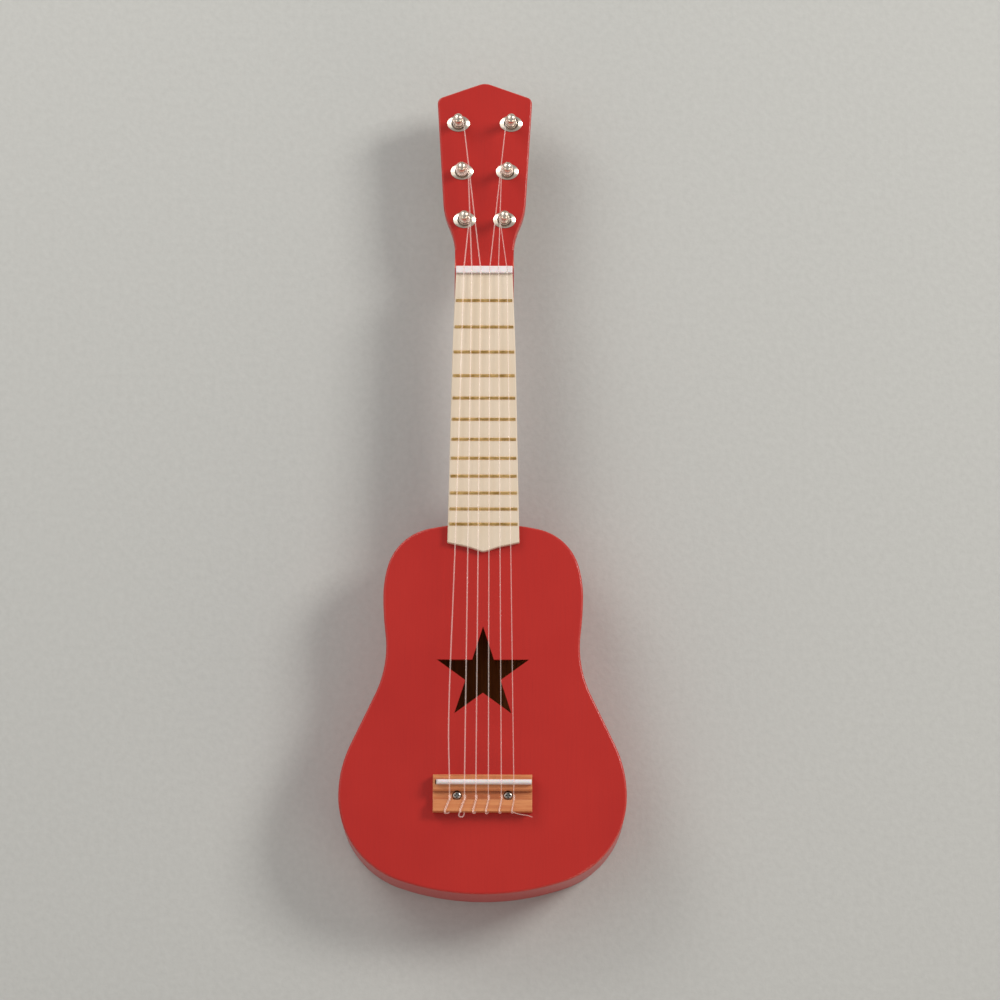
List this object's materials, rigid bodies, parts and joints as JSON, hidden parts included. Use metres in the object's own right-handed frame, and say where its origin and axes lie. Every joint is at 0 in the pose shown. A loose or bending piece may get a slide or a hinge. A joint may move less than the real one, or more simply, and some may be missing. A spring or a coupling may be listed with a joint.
{
  "type": "toy guitar",
  "caption": "Hollow wooden toy guitar with a star-shaped sound hole, pale fretboard, tie bridge, pointed headstock, nylon strings and turning friction pegs.",
  "frame": {"origin": "on the plane of the back, on the centre line, at half of the overall length", "axes": "+Z out of the front of the body, +Y from the tail to the headstock, +X to the right seen from the front; the guitar lies on its back"},
  "size_m": [0.1834, 0.5335, 0.0617],
  "materials": {
    "red_paint": "satin paint",
    "inner_wood": "raw",
    "bridge_wood": "satin",
    "fretboard_wood": "satin",
    "fret_brass": "polished",
    "white_plastic": "satin",
    "screw_steel": "plated",
    "peg_chrome": "polished",
    "button_plastic": "gloss",
    "nylon": "clear"
  },
  "bodies": {
    "guitar": {"soundboard": "red_paint", "back_plate": "red_paint", "side_left": "red_paint", "side_right": "red_paint", "neck": "red_paint", "neck_block": "inner_wood", "tail_block": "inner_wood", "lining_strips": "inner_wood", "braces": "inner_wood", "bridge_plate": "inner_wood", "neck_dowels": "inner_wood", "bridge": "bridge_wood", "fretboard": "fretboard_wood", "fret_01": "fret_brass", "fret_02": "fret_brass", "fret_03": "fret_brass", "fret_04": "fret_brass", "fret_05": "fret_brass", "fret_06": "fret_brass", "fret_07": "fret_brass", "fret_08": "fret_brass", "fret_09": "fret_brass", "fret_10": "fret_brass", "fret_11": "fret_brass", "fret_12": "fret_brass", "nut": "white_plastic", "saddle": "white_plastic", "bridge_screws": "screw_steel", "peg_ferrules": "peg_chrome", "peg_back_collars": "peg_chrome", "string_1": "nylon", "string_2": "nylon", "string_3": "nylon", "string_4": "nylon", "string_5": "nylon", "string_6": "nylon"},
    "peg_1": {"peg_post_1": "peg_chrome", "peg_button_1": "button_plastic", "peg_screw_1": "screw_steel", "string_winding_1": "nylon"},
    "peg_2": {"peg_post_2": "peg_chrome", "peg_button_2": "button_plastic", "peg_screw_2": "screw_steel", "string_winding_2": "nylon"},
    "peg_3": {"peg_post_3": "peg_chrome", "peg_button_3": "button_plastic", "peg_screw_3": "screw_steel", "string_winding_3": "nylon"},
    "peg_4": {"peg_post_4": "peg_chrome", "peg_button_4": "button_plastic", "peg_screw_4": "screw_steel", "string_winding_4": "nylon"},
    "peg_5": {"peg_post_5": "peg_chrome", "peg_button_5": "button_plastic", "peg_screw_5": "screw_steel", "string_winding_5": "nylon"},
    "peg_6": {"peg_post_6": "peg_chrome", "peg_button_6": "button_plastic", "peg_screw_6": "screw_steel", "string_winding_6": "nylon"}
  },
  "joints": [
    {"name": "peg_1_turn", "type": "hinge", "parent": "guitar", "child": "peg_1", "pos_m": [-0.013, 0.17425, 0.03], "axis": [0, 0, 1], "continuous": true},
    {"name": "peg_2_turn", "type": "hinge", "parent": "guitar", "child": "peg_2", "pos_m": [-0.0148, 0.20685, 0.03], "axis": [0, 0, 1], "continuous": true},
    {"name": "peg_3_turn", "type": "hinge", "parent": "guitar", "child": "peg_3", "pos_m": [-0.0172, 0.23935, 0.03], "axis": [0, 0, 1], "continuous": true},
    {"name": "peg_4_turn", "type": "hinge", "parent": "guitar", "child": "peg_4", "pos_m": [0.0172, 0.23935, 0.03], "axis": [0, 0, 1], "continuous": true},
    {"name": "peg_5_turn", "type": "hinge", "parent": "guitar", "child": "peg_5", "pos_m": [0.0148, 0.20685, 0.03], "axis": [0, 0, 1], "continuous": true},
    {"name": "peg_6_turn", "type": "hinge", "parent": "guitar", "child": "peg_6", "pos_m": [0.013, 0.17425, 0.03], "axis": [0, 0, 1], "continuous": true}
  ]
}
